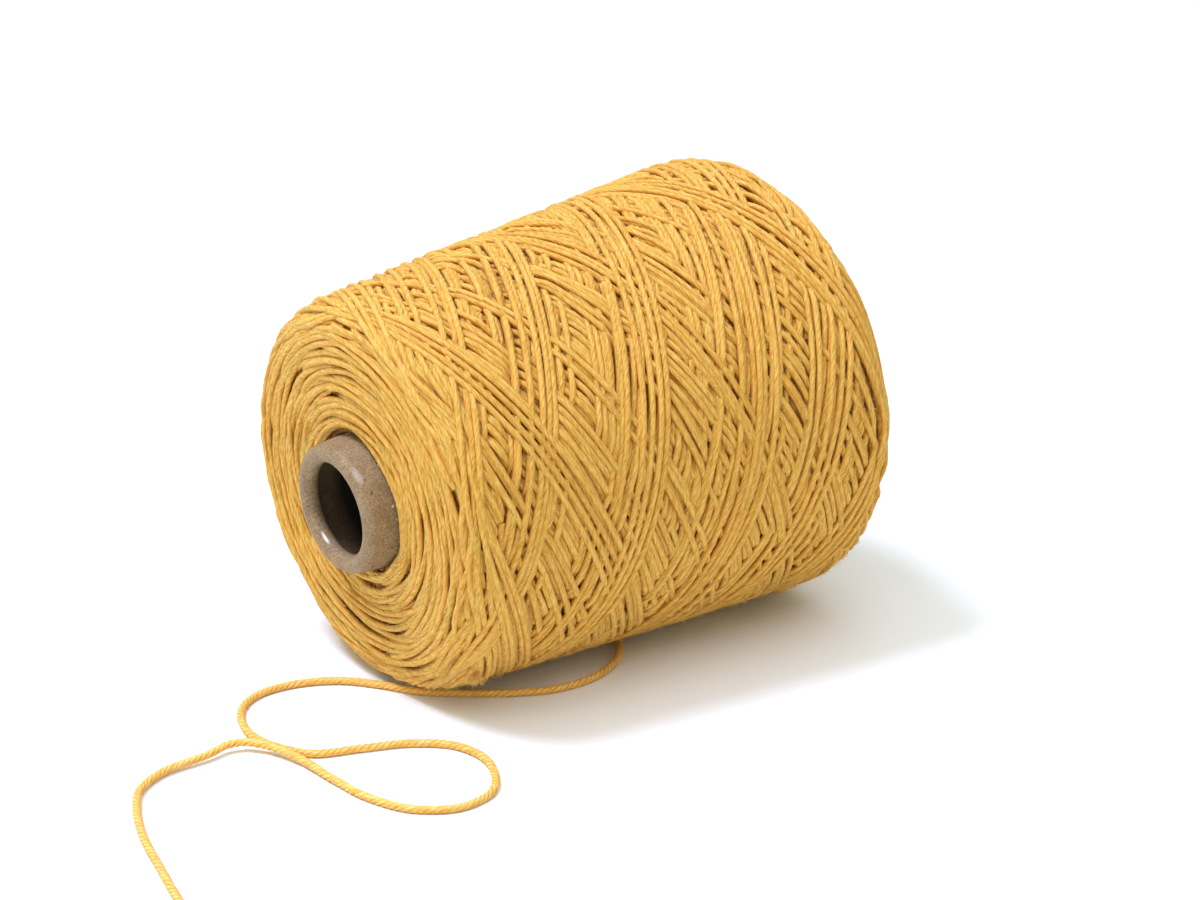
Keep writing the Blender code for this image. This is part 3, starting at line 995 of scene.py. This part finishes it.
def runs_mesh(name, strands, loose_line):
    """The strands that show, as runs of joined points that carry what the sweep needs."""
    runs, edges = [], []
    total = 0
    pick = np.random.default_rng(RUNS_SEED)
    shoulders = (form.q_nose_edge, form.q_side_start + 6, form.q_side_end - 6, form.q_base_edge)
    for strand in strands:
        shade, girth = pick.uniform(0, 1), pick.normal(SWOLLEN, UNEVEN)
        shows = widened(strand["shows"], END_HIDDEN)
        edge = np.flatnonzero(np.diff(np.concatenate([[0], shows.astype(int), [0]])))
        points, outward = form.place(strand["angle"], strand["q"], strand["height"])
        points = clear_of_floor(points, strand, loose_line)
        along = np.arange(len(points)) * Winding.SAMPLE * MM + pick.uniform(0, 1)
        swell = 1 + UNEVEN * np.sin(along * 400 + pick.uniform(0, 6))
        if strand["kind"] in ("nose", "base"):
            girth *= RELAXED
        else:
            swell *= np.interp(strand["q"], shoulders, (DRAWN, 1.0, 1.0, DRAWN))
        for first, last in zip(edge[::2], edge[1::2]):
            if last - first < 2 * END_HIDDEN + SHORTEST_RUN:
                continue
            index = thinned(points, first, last)
            shades = np.full(len(index), shade)
            runs.append((points[index], outward[index], along[index], shades, girth * swell[index]))
            numbers = total + np.arange(len(index))
            edges.append(np.stack([numbers[:-1], numbers[1:]], 1))
            total += len(index)
    places, outwards, *rest = (np.concatenate(part) for part in zip(*runs))
    data = roots_mesh(name, places * MM, outwards)
    edges = np.concatenate(edges)
    data.edges.add(len(edges))
    data.edges.foreach_set("vertices", edges.astype(np.int32).ravel())
    for label, values in zip(("along", "shade", "girth"), rest):
        write_points(data, label, values)
    return data


def roots_mesh(name, points, outwards):
    """Loose points, in metres, that each carry an outward direction."""
    data = bpy.data.meshes.new(name)
    data.vertices.add(len(points))
    data.vertices.foreach_set("co", points.astype(np.float32).ravel())
    write_points(data, "outward", outwards)
    return data


# ---------------------------------------------------------------- fuzz


def winding_roots(winding, count, seed, arc=(0, 360)):
    """Where hairs grow out of the winding: even over its area, at its strands' height; arc in degrees."""
    pick = np.random.default_rng(seed)
    q = pick.choice(form.q, count * 2, p=form.r / form.r.sum())
    angle = pick.uniform(math.radians(arc[0]), math.radians(arc[1]), len(q))
    height = winding.map.between(winding.map.grid, angle, q) - OUTLINE_OVER_AVERAGE
    points, outward = form.place(angle, q, np.minimum(height, PROUD) - 0.1)
    clear = np.flatnonzero(points[:, 2] > 1.6)[:count]
    return points[clear] * MM, outward[clear]


def tuft_roots(count):
    """The frayed tuft that hangs from the nose shoulder."""
    pick = np.random.default_rng(TUFT_SEED)
    points = np.array(TUFT[0]) + pick.normal(0, 0.45, (count, 3))
    outwards = np.array(TUFT[1]) + pick.normal(0, 0.25, (count, 3))
    return points * MM, outwards / np.linalg.norm(outwards, axis=1)[:, None]


def strand_roots(line, count):
    """Where hairs grow out of the loose end, all round it but for the floor side."""
    pick = np.random.default_rng(STRAND_FUZZ_SEED)
    place = pick.integers(2, len(line) - 2, count)
    tangent = line[place + 1] - line[place - 1]
    side = np.stack([-tangent[:, 1], tangent[:, 0], np.zeros(count)], 1)
    side /= np.linalg.norm(side, axis=1)[:, None]
    turn = pick.uniform(-0.4, math.pi + 0.4, count)
    outward = side * np.cos(turn)[:, None] + np.array([0.0, 0.0, 1.0]) * np.sin(turn)[:, None]
    return (line[place] + outward * STRAND * 0.42) * MM, outward


def make_fuzz(name, roots, tree, look, slot, shortest, longest, thickness, lean, seed):
    """Hairs on roots, from shortest to longest and of one radius (metres); none reaches below the floor."""
    made = grown(name, roots_mesh(name, *roots), tree, {
        "Shortest": shortest, "Longest": longest, "Thickness": thickness, "Lean": lean, "Seed": seed,
        "Material": look,
    })
    places = fetched(made.data.vertices, "co", 3)
    places[:, 2] = np.maximum(places[:, 2], 0.05 * MM)
    made.data.vertices.foreach_set("co", places.ravel())
    made.data.update()
    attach(made, "root")


# ---------------------------------------------------------------- the loose end


def smooth_line(route, step):
    """Evenly spaced points, in metres, along a smooth curve through the route's own points."""
    knots = np.array(route, float) * MM
    places = run_length(knots)
    slopes = np.gradient(knots, places, axis=0)
    fine = np.linspace(0, places[-1], 4000)
    index = np.clip(np.searchsorted(places, fine, side="right") - 1, 0, len(places) - 2)
    span = (places[index + 1] - places[index])[:, None]
    t = (fine[:, None] - places[index][:, None]) / span
    curve = (
        (2 * t**3 - 3 * t**2 + 1) * knots[index]
        + (t**3 - 2 * t**2 + t) * span * slopes[index]
        + (3 * t**2 - 2 * t**3) * knots[index + 1]
        + (t**3 - t**2) * span * slopes[index + 1]
    )
    curve[:, 2] = np.maximum(curve[:, 2], ON_FLOOR * MM)
    run = run_length(curve)
    count = int(round(run[-1] / step)) + 1
    return np.stack([np.interp(np.linspace(0, run[-1], count), run, curve[:, k]) for k in range(3)], axis=1)


def plied_tube(name, line, width, plies, pitch, depth, sides, look):
    """A tube whose section is that many round plies, twisted along the line."""
    tangent = np.gradient(line, axis=0)
    tangent /= np.linalg.norm(tangent, axis=1)[:, None]
    side = np.cross(tangent, np.array([0.0, 0.0, 1.0]))
    side /= np.linalg.norm(side, axis=1)[:, None]
    up = np.cross(side, tangent)
    run = run_length(line)
    share = np.arange(sides) / sides
    twist = share[None, :] + run[:, None] / pitch
    valley = 1 - np.abs(np.sin(math.pi * plies * twist))
    radius = width / 2 * (1 - depth * valley**1.6)
    turn = TURN * share
    ring = side[:, None] * np.cos(turn)[None, :, None] + up[:, None] * np.sin(turn)[None, :, None]
    points = line[:, None] + ring * radius[..., None]
    points[..., 2] = np.maximum(points[..., 2], 0.05 * MM)
    mesh, rows = ringed_mesh(points, run, "strand")
    mesh.faces.new(rows[0][::-1])
    mesh.faces.new(rows[-1])
    made = outward_object(name, mesh, look)
    write_points(made.data, "shade", np.full(len(made.data.vertices), 0.6))
    # facing: 1 on top, 0 underneath; the material paints shade under the loose end by it
    write_points(made.data, "facing", 0.5 + 0.5 * fetched(made.data.vertex_normals, "vector", 3)[:, 2])
    return made


def make_loose_end(look):
    """The loose end, a cord. Returns its middle line, in millimetres."""
    line = smooth_line(ROUTE, 0.7 * MM)
    made = plied_tube("loose_end_yarn", line, STRAND * 1.03 * MM, 4, -8.0 * MM, 0.36, 24, look)
    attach(made, "root")
    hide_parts("loose_end")
    return line / MM


# ---------------------------------------------------------------- the body under the strands


def make_core(look):
    """The inside of the winding, a sheet of painted shade seen only between strands."""
    depth, floor_room, steps = 2.6, 3.2, 120
    q = np.linspace(0, form.length, 90)
    angle = np.linspace(0, TURN, steps, endpoint=False)
    rings = []
    for value in q:
        points, _ = form.place(angle, np.full(steps, value), np.full(steps, -depth))
        points[:, 2] = np.maximum(points[:, 2], floor_room)
        rings.append(points * MM)
    mesh, rows = ringed_mesh(rings, q * MM, "strand")
    for j in range(steps):
        k = (j + 1) % steps
        mesh.faces.new((rows[-1][j], rows[-1][k], rows[0][k], rows[0][j]))
    made = outward_object("winding_inside", mesh, look)
    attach(made, "root")
    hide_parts("wound_yarn")


def paper_profile():
    """The cone's section, (s, radius) in mm: outer wall, rolled rim at the nose, inner wall, cut base."""
    end = CONE_LENGTH - NOSE_OUT
    rim_s, rim_r = RIM_RADIUS - NOSE_OUT, HOLE_RADIUS + RIM_RADIUS

    def outer(s):
        return PAPER_RADIUS + s * math.tan(TAPER)

    sides = np.concatenate([np.linspace(end - 0.5, 6.0, 26), np.linspace(3.0, rim_s + 1.2, 5)])
    profile = [(s, outer(s)) for s in sides]
    for turn in np.linspace(math.pi / 2 + TAPER, RIM_CURL_END, 34):
        profile.append((rim_s + RIM_RADIUS * math.cos(turn), rim_r + RIM_RADIUS * math.sin(turn)))
    start_s, start_r = profile[-1]
    inner_end = outer(end) - WALL / math.cos(TAPER)
    for share in np.linspace(0.03, 1.0, 26):
        profile.append((start_s + (end - 0.4 - start_s) * share, start_r + (inner_end - start_r) * share))
    profile += [(end, inner_end + 0.45), (end, outer(end) - 0.55)]
    return np.array(profile)


def make_paper_cone(look):
    """The paper cone, turned round its axis, and not quite even."""
    profile = paper_profile()
    run = run_length(profile)
    angle = np.linspace(0, TURN, 96, endpoint=False)
    pick = np.random.default_rng(PAPER_SEED)
    sunk = 0.06  # mm, so that its bumps stay within an even cone
    uneven = sum(
        pick.normal(0, 0.05 / wave)
        * np.sin(wave * angle[None, :] + pick.uniform(0, 6) + run[:, None] * 0.02 * wave)
        for wave in range(1, 7)
    )
    spoke = around(angle)
    rings = [
        (NOSE_PLANE + s * AXIS + (r + bumps - sunk)[:, None] * spoke) * MM
        for (s, r), bumps in zip(profile, uneven)
    ]
    closed = np.append(run, run[-1] + np.linalg.norm(profile[0] - profile[-1]))
    mesh, _ = ringed_mesh(rings, closed * MM, "paper")
    made = outward_object("paper_cone_turned", mesh, look)
    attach(made, "root")
    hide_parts("paper_cone")


# ---------------------------------------------------------------- put together

make_camera()
make_stage()
make_light()

yarn_group = plied_yarn_group()
loose_line = make_loose_end(yarn_material("loose_strand", yarn_group, **LOOSE_YARN))
wound_look = yarn_material("wound_yarn_plies", yarn_group, **WOUND_YARN)
make_paper_cone(paper_material())
make_core(inside_material())

winding = Winding(FACES_SEED)
wind_faces(winding)
winding.random = np.random.default_rng(SIDE_SEED)
wind_under_layers(winding)
wind_side(winding)
wind_ribbons(winding)
look_over(winding)

pieces = {
    kind + "_turns": [strand for strand in winding.strands if strand["kind"] == kind]
    for kind in ("nose", "base", "under", "ribbon")
}
side_turns = [strand for strand in winding.strands if strand["kind"] == "turn"]
for name, first, last in CROSS_TURNS:
    pieces[name] = side_turns[int(len(side_turns) * first): int(len(side_turns) * last)]
strands_laid = strand_tree()
for name, strands in pieces.items():
    made = grown(
        name, runs_mesh(name, strands, loose_line), strands_laid,
        {"Width": WOUND * MM, "Flattened": FLATTENED, "Sides": SECTION_SIDES, "Material": wound_look},
    )
    map_strand(made.data)
    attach(made, "root")

fuzz_look = fuzz_material()
fuzz_grown = fuzz_tree()
for name, roots, slot, *hairs in (  # hairs: shortest, longest, radius (metres), lean (radians), seed
    ("short_fuzz", winding_roots(winding, 13000, 31), "yarn", 0.0005, 0.0013, 0.00004, 1.2, 5),
    ("long_fuzz", winding_roots(winding, 7000, 32), "yarn", 0.001, 0.0024, 0.000032, 1.3, 7),
    ("under_fuzz", winding_roots(winding, 4500, 35, (-172, -132)), "yarn", 0.0007, 0.0018, 0.00005, 0.9, 6),
    ("tuft", tuft_roots(110), "yarn", 0.002, 0.0038, 0.00005, 0.4, 8),
    ("loose_end_fuzz", strand_roots(loose_line, 1800), "strand", 0.0005, 0.0012, 0.00002, 1.1, 9),
):
    make_fuzz(name, roots, fuzz_grown, fuzz_look, slot, *hairs)
